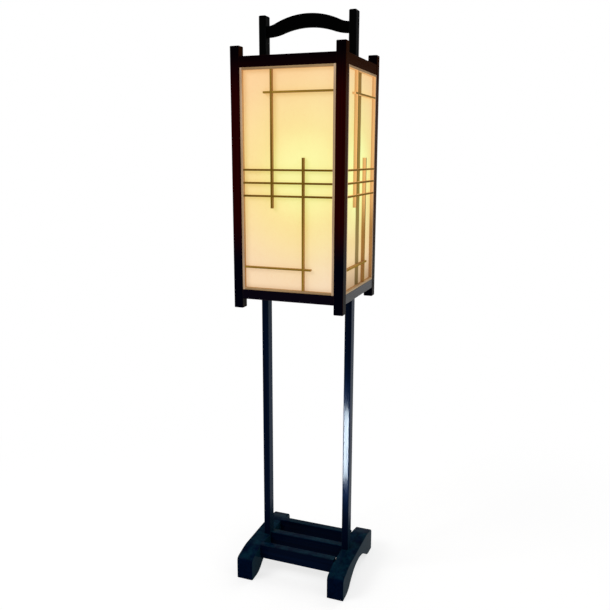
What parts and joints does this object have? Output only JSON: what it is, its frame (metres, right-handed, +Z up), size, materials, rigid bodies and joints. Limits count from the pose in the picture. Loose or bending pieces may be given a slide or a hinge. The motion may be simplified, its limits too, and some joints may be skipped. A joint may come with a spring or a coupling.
{
  "type": "tower floor lamp",
  "caption": "Tall floor lamp: a square paper lantern with lattice panels, carried by posts on a low sled stand, with an arched carrying handle on top.",
  "frame": {"origin": "on the floor, under the middle of the lantern and stand", "axes": "+Z up, +X to the right along the handle, -Y to the front"},
  "size_m": [0.303, 0.284, 1.465],
  "materials": {
    "stand_lacquer": "gloss black lacquer, blue in the light",
    "lantern_lacquer": "satin black lacquer with a dark red tint",
    "pale_wood": "bare straight-grained softwood",
    "lit_paper": "fibrous mulberry paper, lit from behind",
    "zinc_steel": "zinc plated",
    "brass": "drawn brass",
    "brown_plastic": "moulded phenolic",
    "black_plastic": "moulded",
    "bulb_metal": "rolled",
    "black_glass": "fused insulator",
    "bulb_glass": "clear blown glass",
    "light_rods": "coated light rods"
  },
  "bodies": {
    "lamp_frame": {"centre_contact": "brass", "cord_bush": "black_plastic", "foot_screws": "zinc_steel", "front_bottom_rail": "lantern_lacquer", "front_lattice_crossbars": "pale_wood", "front_lattice_uprights": "pale_wood", "front_left_corner_post": "lantern_lacquer", "front_panel_sticks": "pale_wood", "front_panel_stiles": "pale_wood", "front_paper": "lit_paper", "front_right_corner_post": "lantern_lacquer", "front_stretcher": "stand_lacquer", "front_top_rail": "lantern_lacquer", "handle_arch": "stand_lacquer", "holder_cap": "brass", "holder_core": "brown_plastic", "holder_shell": "brass", "lamp_bridge": "lantern_lacquer", "left_bottom_rail": "lantern_lacquer", "left_foot": "stand_lacquer", "left_lattice_crossbars": "pale_wood", "left_lattice_uprights": "pale_wood", "left_panel_sticks": "pale_wood", "left_panel_stiles": "pale_wood", "left_paper": "lit_paper", "left_post": "stand_lacquer", "left_top_rail": "lantern_lacquer", "middle_stretcher": "stand_lacquer", "post_screws": "zinc_steel", "rear_bottom_rail": "lantern_lacquer", "rear_lattice_crossbars": "pale_wood", "rear_lattice_uprights": "pale_wood", "rear_left_corner_post": "lantern_lacquer", "rear_panel_sticks": "pale_wood", "rear_panel_stiles": "pale_wood", "rear_paper": "lit_paper", "rear_right_corner_post": "lantern_lacquer", "rear_stretcher": "stand_lacquer", "rear_top_rail": "lantern_lacquer", "right_bottom_rail": "lantern_lacquer", "right_foot": "stand_lacquer", "right_lattice_crossbars": "pale_wood", "right_lattice_uprights": "pale_wood", "right_panel_sticks": "pale_wood", "right_panel_stiles": "pale_wood", "right_paper": "lit_paper", "right_post": "stand_lacquer", "right_top_rail": "lantern_lacquer", "screw_shell": "brass", "stem_nuts": "zinc_steel", "stem_pipe": "zinc_steel"},
    "switch": {"switch_shaft": "brass", "switch_knob": "brown_plastic"},
    "bulb": {"bulb_cap": "bulb_metal", "bulb_insulator": "black_glass", "bulb_tip": "bulb_metal", "bulb_glass": "bulb_glass", "bulb_mount": "bulb_glass", "bulb_filaments": "light_rods"}
  },
  "joints": [
    {"name": "switch_turn", "type": "hinge", "parent": "lamp_frame", "child": "switch", "pos_m": [0, 0.026, 0.997], "axis": [0, 1, 0], "continuous": true},
    {"name": "bulb_turn", "type": "hinge", "parent": "lamp_frame", "child": "bulb", "pos_m": [0, 0, 1.085], "axis": [0, 0, 1], "range_deg": [0, 1080]}
  ]
}
